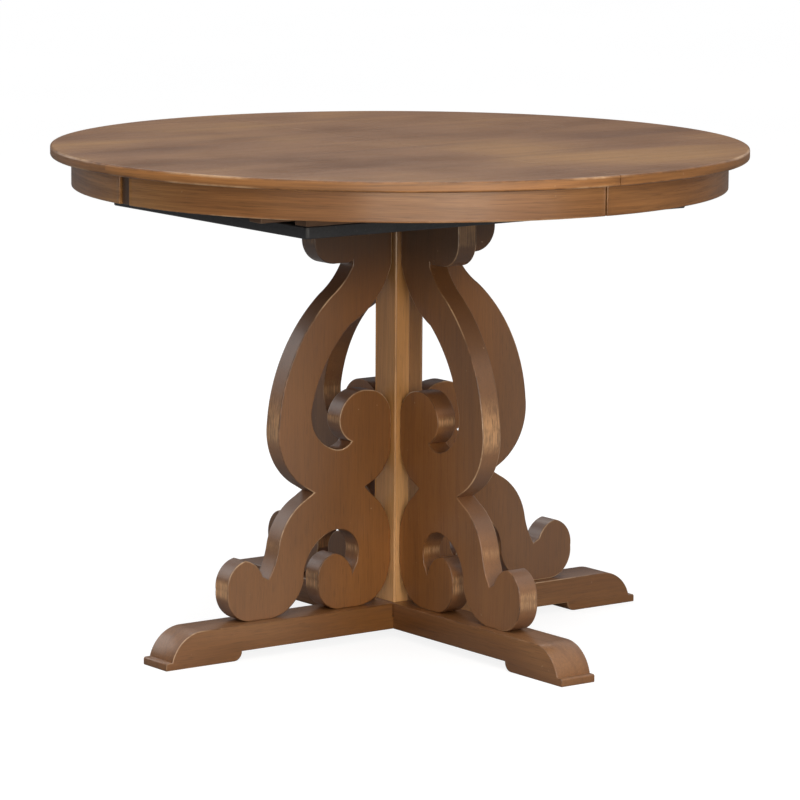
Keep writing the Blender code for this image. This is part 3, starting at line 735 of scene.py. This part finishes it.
def plain_finish(name, colour, marked, low, high, metallic=0.0, coat=0.0, wear=0.7,
                 lift=0.0002, scale=260.0, brushed=None):
    """Paint or metal with uneven gloss, a fine texture and bright worn edges."""
    tree, shader = new_material(name, Metallic=metallic, Coat_Weight=coat, Coat_Roughness=0.2)
    place = place_of(tree)
    handled = shared(tree, "Handled surface", place, low, high)
    texture = noise(tree, stretched(tree, place, brushed or (1.0, 1.0, 1.0)), scale, 3.0, 0.6)
    shade = mixed(tree, ramp(tree, texture, 0.3, 0.7), rgba(colour, 0.82), rgba(colour, 1.18))
    shade = mixed(tree, maths(tree, "MULTIPLY", handled[1], 0.10), shade, (0.30, 0.28, 0.25, 1.0))
    rubbed = shared(tree, "Rubbed arris", place, noted(tree, "worn"), wear)
    tree.links.new(mixed(tree, rubbed[0], shade, rgba(marked)), shader.inputs["Base Color"])
    tree.links.new(handled[0], shader.inputs["Roughness"])
    bump = node(tree, "Bump", named={"Strength": 0.3, "Distance": lift, "Height": texture})
    tree.links.new(bump.outputs[0], shader.inputs["Normal"])


# Operators


class TABLE_OT_finishes(bpy.types.Operator):
    """Make the stains, paints and metals of the table"""

    bl_idname = "table.finishes"
    bl_label = "Finishes"

    def execute(self, context):
        colours = context.scene.table_colours
        grain_group()
        wear_group()
        rub_group()
        round_group()
        stain, deep, golden, bare_and_highlight = (
            colours.stain, colours.stain_deep, colours.stain_glow, colours.bare_wood_and_highlight
        )
        stained(
            "Stained brackets", "Z", stain, deep, (0.33, 0.128, 0.030), bare_and_highlight, figure=0.25,
            clouding=0.65, wear=1.0, edge=(0.51, 0.275, 0.120), painted_sheen=0.10, painted_shade=SHADE_UNDER_TOP,
        )
        stained(
            "Stained post", "Z", stain, deep, golden, bare_and_highlight, figure=0.3,
            staves=((2.35, 2.85, 3.6), (1.25, 1.35, 1.5)), painted_shade=SHADE_UNDER_TOP,
        )
        for run, grain in (("front back", "X"), ("left right", "Y")):
            stained(
                "Stained beam " + run, grain, stain, deep, golden, bare_and_highlight, figure=0.4, painted_sheen=0.05
            )
        stained(
            "Stained apron", "ROUND", colours.rim_stain, stain, (0.52, 0.26, 0.085), bare_and_highlight,
            figure=0.75, clouding=0.9, coat=0.45,
        )
        stained(
            "Stained top", "X", colours.top_stain, deep, (0.36, 0.175, 0.048), bare_and_highlight,
            figure=0.35, pores=0.2, clouding=0.8, rim=rgba(colours.rim_stain), coat=0.15,
            lift=0.0003, wear=0.5,
        )
        # The slide wood is stained dark and darkened further as painted shade under the top
        slide = colours.slide_wood
        for run, grain in (("lengthwise", "X"), ("crosswise", "Y")):
            stained(
                "Slide wood " + run, grain, slide, rgba(slide, 0.5), rgba(slide, 1.3), bare_and_highlight,
                coat=0.0,
            )
        plain_finish(
            "Black paint", colours.black_paint, (0.075, 0.075, 0.078), 0.34, 0.50, coat=0.15
        )
        plain_finish(
            "Zinc steel", (0.50, 0.51, 0.52), (0.72, 0.72, 0.71), 0.24, 0.42, metallic=1.0,
            lift=0.00006, scale=900.0,
        )
        plain_finish(
            "Latch steel", (0.42, 0.43, 0.45), (0.70, 0.70, 0.69), 0.28, 0.48, metallic=1.0,
            lift=0.00008, scale=500.0, brushed=(0.25, 1.0, 1.0),
        )
        plain_finish(
            "Pin brass", (0.72, 0.50, 0.22), (0.85, 0.68, 0.38), 0.22, 0.38, metallic=1.0,
            lift=0.00006, scale=800.0,
        )
        return {"FINISHED"}


class TABLE_OT_half_tops(bpy.types.Operator):
    """Make the two half tops, with rounded rims and an eased seam"""

    bl_idname = "table.half_tops"
    bl_label = "Half tops"

    def execute(self, context):
        sizes = context.scene.table_sizes
        for end, sign in ENDS.items():
            source = "tabletop_" + end
            low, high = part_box(source)
            radius = (high.y - low.y) / 2
            seam = high.x if sign < 0 else low.x
            bpy.ops.object.select_all(action="DESELECT")
            bpy.ops.mesh.primitive_circle_add(
                vertices=2 * sizes.rim_steps, radius=radius, fill_type="NGON",
                location=(seam, 0.0, low.z),
            )
            piece = take("half_top_" + end)
            open_mesh(piece)
            bpy.ops.mesh.bisect(
                plane_co=(seam, 0.0, low.z), plane_no=(sign, 0.0, 0.0), clear_inner=True
            )
            bpy.ops.mesh.select_mode(type="FACE")
            bpy.ops.mesh.select_all(action="SELECT")
            bpy.ops.mesh.extrude_region_move(
                TRANSFORM_OT_translate={"value": (0.0, 0.0, high.z - low.z)}
            )
            face_out()

            def on_level(edge):
                return abs(edge.verts[0].co.z - edge.verts[1].co.z) < 1e-6

            ease(piece, sizes.rim_round, lambda e: on_level(e) and e.calc_length() < radius, 4)
            ease(
                piece, sizes.seam_ease,
                lambda e: is_corner(e) and e.calc_length() > radius and on_level(e), 2,
            )
            feather(piece, sizes.wear_width)
            mesh = bmesh.from_edit_mesh(piece.data)
            rim = mesh.verts.layers.float.new("rim")
            for vertex in mesh.verts:
                reach = math.hypot(vertex.co.x - seam, vertex.co.y)
                level = min(high.z - vertex.co.z, vertex.co.z - low.z)
                vertex[rim] = 1.0 if reach > radius - 0.0004 and level > 0.0012 else 0.0
            bmesh.update_edit_mesh(piece.data)
            polish(piece)
            settle(piece, body_of(source), "stained_top", "Stained top", source)
        return {"FINISHED"}


class TABLE_OT_aprons(bpy.types.Operator):
    """Make the four bent apron quarters and the two blocks that splice them"""

    bl_idname = "table.aprons"
    bl_label = "Aprons"

    def execute(self, context):
        sizes = context.scene.table_sizes
        for end, sign in ENDS.items():
            for hand in HANDS:
                source = f"apron_{end}_{hand}"
                co = [v.co for v in frame["nodes"][source].data.vertices]
                low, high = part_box(source)
                reaches = [math.hypot(c.x, c.y) for c in co]
                turns = sorted(math.atan2(c.y, c.x * sign) for c in co)
                inner, outer = min(reaches), max(reaches)
                first, last = turns[0], turns[-1]
                middle = (inner + outer) / 2
                bpy.ops.object.select_all(action="DESELECT")
                bpy.ops.mesh.primitive_plane_add(
                    size=1.0, rotation=(math.pi / 2, 0.0, first),
                    location=(
                        middle * math.cos(first), middle * math.sin(first), (low.z + high.z) / 2
                    ),
                )
                bpy.context.object.scale = (outer - inner, high.z - low.z, 1.0)
                piece = take(f"apron_quarter_{end}_{hand}")
                open_mesh(piece)
                bpy.ops.mesh.spin(
                    steps=sizes.rim_steps // 2, angle=first - last, center=(0, 0, 0), axis=(0, 0, 1)
                )
                face_out()
                ease(
                    piece, APRON_ARRIS,
                    lambda e: is_corner(e) and any(
                        math.hypot(v.co.x, v.co.y) > middle for v in e.verts
                    ) and not all(v.co.z > high.z - 1e-5 for v in e.verts),
                )
                feather(piece, sizes.wear_width)
                close_mesh()
                if sign < 0:
                    bpy.context.object.scale = (-1.0, 1.0, 1.0)
                    set_down()
                open_mesh(piece)
                face_out()
                polish(piece)
                settle(piece, body_of(source), "stained_apron", "Stained apron", source)
            source = "apron_splice_" + end
            piece = fine_copy(source, "splice_block_" + end, SPLICE_ARRIS)
            settle(piece, body_of(source), "stained_apron", "Stained brackets", source)
        return {"FINISHED"}


class TABLE_OT_brackets(bpy.types.Operator):
    """Make the four scroll brackets from one sawn outline"""

    bl_idname = "table.brackets"
    bl_label = "Scroll brackets"

    def execute(self, context):
        sizes = context.scene.table_sizes
        low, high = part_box("bracket_back")
        across = (high.x - low.x) / BRACKET_REACH
        up = (high.z - low.z) / BRACKET_HEIGHT

        def placed(point):
            return (low.x + point[0] * across, low.z + point[1] * up)

        start = placed((0.0, BRACKET_HEIGHT))
        runs = [tuple(placed(p) for p in run) for run in BRACKET_RUNS] + [(start,)]
        width = high.y - low.y
        pattern = sawn("scroll_bracket_back", start, runs, low.y, width, sizes.curve_step)
        ease(
            pattern, sizes.arris,
            lambda e: is_corner(e) and abs(e.verts[0].co.y - e.verts[1].co.y) < 1e-6,
        )
        feather(pattern, sizes.wear_width)
        mark_sawn(pattern)
        polish(pattern, 40)
        for side, heading in SIDES.items():
            source = "bracket_" + side
            name = "scroll_bracket_" + side
            piece = pattern if side == "back" else turned_copy(pattern, name, heading)
            settle(piece, body_of(source), "stained_frame", "Stained brackets", source)
        return {"FINISHED"}


class TABLE_OT_pedestal(bpy.types.Operator):
    """Make the post of two glued staves and the two crossed beams"""

    bl_idname = "table.pedestal"
    bl_label = "Post and beams"

    def execute(self, context):
        sizes = context.scene.table_sizes
        low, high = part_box("centre_post")
        bpy.ops.object.select_all(action="DESELECT")
        bpy.ops.mesh.primitive_cube_add(size=1.0, location=(low + high) / 2)
        bpy.context.object.scale = high - low
        post = take("glued_post")
        open_mesh(post)
        for x in (-SEAM_HALF_WIDTH, 0.0, SEAM_HALF_WIDTH):
            bpy.ops.mesh.select_all(action="SELECT")
            bpy.ops.mesh.bisect(plane_co=(x, 0.0, 0.0), plane_no=(1.0, 0.0, 0.0))
        choose(post, "VERT", lambda v: abs(v.co.x) < 1e-5)
        bpy.ops.transform.resize(
            value=(1.0, 1.0 - 2 * SEAM_HALF_WIDTH / (high.y - low.y), 1.0),
            center_override=(0.0, 0.0, 0.0),
        )
        ease(
            post, POST_ARRIS,
            lambda e: is_corner(e) and e.calc_length() > 0.3 and abs(e.verts[0].co.x) > 0.02,
        )
        feather(post, sizes.wear_width)
        polish(post)
        settle(post, body_of("centre_post"), "stained_frame", "Stained post", "centre_post")

        for source, heading in (("beam_front_back", 0.0), ("beam_left_right", math.pi / 2)):
            low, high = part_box(source)
            length = max(high.x - low.x, high.y - low.y) / 2
            half = min(high.x - low.x, high.y - low.y) / 2
            self.make_beam(sizes, source, heading, length, half, low.z, high.z)
        return {"FINISHED"}

    def make_beam(self, sizes, source, heading, tip, half, floor, top):
        """The side of a beam: pads, rounded heels, a curved toe over a lip, and the lap notch."""
        pad = tip - PAD_LENGTH
        lap = half + BOARD_GAP
        low_beam = source == "beam_front_back"
        middle = (floor + PAD_HEIGHT + top) / 2
        round_off = PAD_HEIGHT * (1 - math.sqrt(0.5))
        toe, lip = (tip - TOE_LENGTH, top), (tip - LIP_LENGTH, LIP_HEIGHT)
        bend = math.acos(1 - (top - LIP_HEIGHT) / TOE_RADIUS) / 2
        via = (toe[0] + TOE_RADIUS * math.sin(bend), top - TOE_RADIUS * (1 - math.cos(bend)))
        right = [
            ((pad + round_off, round_off), (pad + PAD_HEIGHT, floor)),
            ((tip - 0.001, floor),), ((tip, floor + 0.001),), ((tip, LIP_HEIGHT - LIP_ROUND),),
            ((tip - 0.0009, 0.0111), (tip - LIP_ROUND, LIP_HEIGHT)), (lip,), (via, toe),
        ]
        start = (pad, PAD_HEIGHT)
        runs = [*right]
        if low_beam:
            notch = middle - BOARD_GAP / 2
            runs += [((lap, top),), ((lap, notch),), ((-lap, notch),), ((-lap, top),)]
        runs += self.mirrored(right, start)
        if not low_beam:
            notch = middle + BOARD_GAP / 2
            runs += [
                ((-lap, PAD_HEIGHT),), ((-lap, notch),), ((lap, notch),), ((lap, PAD_HEIGHT),)
            ]
        runs += [(start,)]
        name = "foot_beam_front_back" if low_beam else "foot_beam_left_right"
        piece = sawn(name, start, runs, -half, 2 * half, sizes.curve_step)
        ease(
            piece, sizes.arris,
            lambda e: is_corner(e) and abs(e.verts[0].co.y - e.verts[1].co.y) < 1e-6, 4, 0.0,
        )
        polish(piece, 40)
        drills = [
            ((sign * BEAM_SCREW_REACH, 0.0, PAD_HEIGHT + 0.004), *BEAM_SCREW_BORE)
            for sign in (-1, 1)
        ]
        if low_beam:
            drills.append(((0.0, 0.0, PAD_HEIGHT + 0.002), *BEAM_BOLT_BORE))
        bored(piece, drills)
        if heading:
            only(piece)
            piece.rotation_euler[2] = heading
            set_down()
        finish = "Stained beam front back" if low_beam else "Stained beam left right"
        settle(piece, body_of(source), "stained_frame", finish, source)

    def mirrored(self, right, start):
        """The runs of the right half drawn backwards on the left half."""
        points = [start, *(run[-1] for run in right)]
        runs = [((-points[-1][0], points[-1][1]),)]
        for run, end in zip(reversed(right), reversed(points[:-1])):
            flipped = (-end[0], end[1])
            runs.append(((-run[0][0], run[0][1]), flipped) if len(run) == 2 else (flipped,))
        return runs


class TABLE_OT_slides(bpy.types.Operator):
    """Make the plate, the guide rails, the sliders and the bars"""

    bl_idname = "table.slides"
    bl_label = "Plate and slides"

    def execute(self, context):
        sizes = context.scene.table_sizes
        plate = fine_copy("mounting_plate", "black_plate", PLATE_ARRIS, 0.001)
        settle(plate, body_of("mounting_plate"), "black_plate", "Black paint", "mounting_plate")
        pieces = [(f"guide_rail_{hand}", "grooved_rail_" + hand, "lengthwise") for hand in HANDS]
        for end in ENDS:
            for hand in HANDS:
                name = f"slider_{end}_{hand}"
                pieces.append((name, "tongued_" + name, "lengthwise"))
            pieces.append((f"cross_bar_{end}", "slide_cross_bar_" + end, "crosswise"))
            pieces.append((f"stop_bar_{end}", "slide_stop_bar_" + end, "crosswise"))
        for source, name, run in pieces:
            piece = fine_copy(source, name, sizes.light_ease, 0.02)
            settle(piece, body_of(source), "slide_wood", "Slide wood " + run, source)
        return {"FINISHED"}


class TABLE_OT_hardware(bpy.types.Operator):
    """Make the screws, bolts, washers, pins and latches"""

    bl_idname = "table.hardware"
    bl_label = "Hardware"

    def execute(self, context):
        for source in sorted(frame["nodes"]):
            low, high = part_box(source)
            middle = (low + high) / 2
            if "_screw_" in source or source.startswith("post_bolt"):
                head = (high.x - low.x) / 2
                upward = source.startswith(("foot", "rail", "post_bolt_foot"))
                piece = self.make_screw(source, middle, head, low.z, high.z, upward)
                settle(piece, body_of(source), "screw_steel", "Zinc steel", source)
            elif source.startswith("post_washer"):
                rim, thick, ease_off = (high.x - low.x) / 2, high.z - low.z, WASHER_ROUND
                profile = [
                    (WASHER_BORE, 0.0), (rim - ease_off, 0.0), (rim, ease_off),
                    (rim, thick - ease_off), (rim - ease_off, thick), (WASHER_BORE, thick),
                    (WASHER_BORE, 0.0),
                ]
                name = source.replace("post_washer", "round_washer")
                piece = lathed(name, profile, (middle.x, middle.y, low.z))
                polish(piece, 40)
                settle(piece, body_of(source), "screw_steel", "Zinc steel", source)
            elif source.startswith("alignment_pin"):
                self.make_pin(source, low, high)
            elif source.startswith(("latch_base", "latch_keeper")):
                self.make_stud(source, low, high)
            elif source.startswith("latch_lever"):
                name = source.replace("latch_lever", "hook_lever")
                piece = fine_copy(source, name, LEVER_ARRIS, 0.0015)
                settle(piece, body_of(source), "latch_steel", "Latch steel", source)
        return {"FINISHED"}

    def make_screw(self, source, middle, head, bottom, top, upward):
        """A pan-headed screw with a six-lobed recess, turned on its axis."""
        length = top - bottom
        shank = head * 0.5
        cap = 0.62 * head
        name = source.replace("_screw_", "_pan_screw_").replace("post_bolt", "pan_bolt")
        point = shank * 1.4 - length
        profile = [(0.0, -length), (shank * 0.35, -length + shank * 0.5), (shank * 0.96, point)]
        reach = -cap - point
        for k in range(SCREW_TURNS):
            z = point + reach * 0.55 * (k + 1) / SCREW_TURNS
            profile += [(shank * 0.80, z - reach * 0.55 / SCREW_TURNS * 0.45), (shank * 0.97, z)]
        profile += [
            (shank * 0.97, -cap), (head * 0.97, -cap), (head, -cap + 0.0003),
            (head, -0.38 * cap), (head * 0.93, -0.15 * cap), (head * 0.78, 0.0),
            (head * 0.48, 0.0), (head * 0.44, -0.0003), (head * 0.40, -0.5 * cap),
            (0.0, -0.5 * cap),
        ]
        piece = lathed(name, profile, (middle.x, middle.y, top), 24)

        def is_lobe(vertex):
            x, y = vertex.co.x - middle.x, vertex.co.y - middle.y
            inside = head * 0.2 < math.hypot(x, y) < head * 0.45
            turned = round(math.atan2(y, x) / (math.pi / 12)) % 4 == 0
            return vertex.co.z > top - 0.6 * cap and inside and turned

        choose(piece, "VERT", is_lobe)
        bpy.ops.transform.resize(
            value=(0.62, 0.62, 1.0), center_override=(middle.x, middle.y, top)
        )
        polish(piece, 35)
        if upward:
            only(piece)
            over = Matrix.Rotation(math.pi, 4, "X")
            piece.matrix_world = Matrix.Translation(middle) @ over @ Matrix.Translation(-middle)
            set_down()
        return piece

    def make_pin(self, source, low, high):
        """A brass pin along X with a tapered tip and a knurled root."""
        radius, length = (high.z - low.z) / 2, high.x - low.x
        profile = [(0.0, 0.0), (radius * 0.9, 0.0), (radius, 0.0004)]
        for k in range(PIN_RINGS):
            z = 0.003 + 0.0022 * k
            groove = radius * 0.94
            profile += [(radius, z), (groove, z + 0.0004), (groove, z + 0.0009)]
            profile.append((radius, z + 0.0013))
        profile += [
            (radius, length - 0.004), (radius * 0.82, length - 0.0016),
            (radius * 0.45, length - 0.0003), (0.0, length),
        ]
        middle = (low + high) / 2
        piece = lathed(source.replace("alignment_pin", "brass_pin"), profile, (0.0, 0.0, 0.0), 32)
        polish(piece, 40)
        only(piece)
        aside = Matrix.Rotation(math.pi / 2, 4, "Y")
        piece.matrix_world = Matrix.Translation((low.x, middle.y, middle.z)) @ aside
        set_down()
        settle(piece, body_of(source), "pin_brass", "Pin brass", source)

    def make_stud(self, source, low, high):
        """A flange, a stud and a riveted head, all turned."""
        tall = high.z - low.z
        flange, stud, head = (high.x - low.x) / 2, 0.004, 0.0065
        profile = [
            (0.0, 0.0), (flange - 0.0004, 0.0), (flange, -0.0004), (flange, -0.0013),
            (flange - 0.0007, -0.0020), (0.0062, -0.0020), (stud, -0.0020), (stud, 0.002 - tall),
            (head - 0.0003, 0.002 - tall), (head, 0.0017 - tall), (head, 0.0010 - tall),
            (head - 0.0012, 0.0002 - tall), (0.0035, -tall), (0.0022, 0.0006 - tall),
            (0.0, 0.0006 - tall),
        ]
        middle = (low + high) / 2
        name = source.replace("latch_base", "latch_pivot_stud")
        name = name.replace("latch_keeper", "latch_keeper_stud")
        piece = lathed(name, profile, (middle.x, middle.y, high.z), 40)
        polish(piece, 35)
        settle(piece, body_of(source), "latch_steel", "Latch steel", source)


class TABLE_OT_stage(bpy.types.Operator):
    """Make the pale floor, the soft lights and the camera"""

    bl_idname = "table.stage"
    bl_label = "Stage"

    def execute(self, context):
        bpy.ops.object.select_all(action="DESELECT")
        bpy.ops.mesh.primitive_plane_add(size=120.0)
        floor = take("pale_floor")
        open_mesh(floor)
        bpy.ops.mesh.subdivide(number_cuts=3)
        close_mesh()
        tree, shader = new_material("Pale floor", Roughness=0.9)
        mottled = noise(tree, place_of(tree), 0.8, 2.0)
        pale = mixed(tree, mottled, (0.24, 0.24, 0.24, 1.0), (0.27, 0.27, 0.27, 1.0))
        tree.links.new(pale, shader.inputs["Base Color"])
        shader.inputs["Specular IOR Level"].default_value = 0.0
        glow = node(tree, "Emission", ((1.0, 1.0, 1.0, 1.0), FLOOR_GLOW)).outputs[0]
        lit = node(tree, "AddShader", (shader.outputs[0], glow)).outputs[0]
        seen = node(tree, "LightPath").outputs["Is Camera Ray"]
        shown = node(tree, "MixShader", (seen, shader.outputs[0], lit)).outputs[0]
        tree.links.new(shown, tree.nodes["Material Output"].inputs["Surface"])
        floor.data.materials.append(bpy.data.materials["Pale floor"])

        scene = context.scene
        world = bpy.data.worlds.new("Soft studio")
        scene.world = world
        world.use_nodes = True
        tree = world.node_tree
        background = tree.nodes["Background"]
        up = node(tree, "SeparateXYZ", (node(tree, "TexCoord").outputs["Generated"],)).outputs[2]
        sky = mixed(tree, ramp(tree, up, 0.05, 0.9), WALL_LIGHT, CEILING_LIGHT)
        seen = node(tree, "LightPath").outputs["Is Camera Ray"]
        tree.links.new(mixed(tree, seen, sky, (1.0, 1.0, 1.0, 1.0)), background.inputs["Color"])

        aim = Vector((0.0, 0.0, 0.40))
        for name, (azimuth, height, distance, wide, tall, glow, tint) in SOFTBOXES.items():
            turn = math.radians(azimuth)
            spot = Vector((math.sin(turn) * distance, -math.cos(turn) * distance, height))
            bpy.ops.object.light_add(type="AREA", location=spot)
            light = context.object
            light.name = name
            light.rotation_euler = (aim - spot).to_track_quat("-Z", "Y").to_euler()
            light.data.shape = "RECTANGLE"
            light.data.size = wide
            light.data.size_y = tall
            light.data.energy = glow * math.pi * wide * tall
            light.data.color = tint

        bpy.ops.object.camera_add(location=CAMERA_SPOT)
        camera = context.object
        camera.name = "table_camera"
        facing = Matrix.Rotation(math.radians(CAMERA_HEADING), 4, "Z")
        pitch = Matrix.Rotation(math.radians(90.0 - CAMERA_TILT), 4, "X")
        roll = Matrix.Rotation(math.radians(CAMERA_ROLL), 4, "Z")
        camera.rotation_euler = (facing @ pitch @ roll).to_euler()
        camera.data.sensor_width = 36.0
        camera.data.lens = CAMERA_LENS
        camera.data.clip_end = 300.0
        scene.camera = camera
        scene.view_settings.view_transform = "Standard"
        return {"FINISHED"}


class TABLE_PT_sidebar(bpy.types.Panel):
    """The table's pieces, sizes and colours"""

    bl_idname = "TABLE_PT_sidebar"
    bl_label = "Round pedestal table"
    bl_space_type = "VIEW_3D"
    bl_region_type = "UI"
    bl_category = "Table"

    def draw(self, context):
        for operator in OPERATORS:
            self.layout.operator(operator.bl_idname)
        for values in (context.scene.table_sizes, context.scene.table_colours):
            for name in values.__annotations__:
                self.layout.prop(values, name)


OPERATORS = [
    TABLE_OT_finishes, TABLE_OT_half_tops, TABLE_OT_aprons, TABLE_OT_brackets, TABLE_OT_pedestal,
    TABLE_OT_slides, TABLE_OT_hardware, TABLE_OT_stage,
]
CLASSES = [TableSizes, TableColours, *OPERATORS, TABLE_PT_sidebar]


def register():
    for made in CLASSES:
        bpy.utils.register_class(made)
    bpy.types.Scene.table_sizes = PointerProperty(type=TableSizes)
    bpy.types.Scene.table_colours = PointerProperty(type=TableColours)


def unregister():
    del bpy.types.Scene.table_sizes
    del bpy.types.Scene.table_colours
    for made in reversed(CLASSES):
        bpy.utils.unregister_class(made)


def main():
    register()
    for operator in OPERATORS:
        group_name, verb = operator.bl_idname.split(".")
        getattr(getattr(bpy.ops, group_name), verb)()


if __name__ == "__main__":
    main()
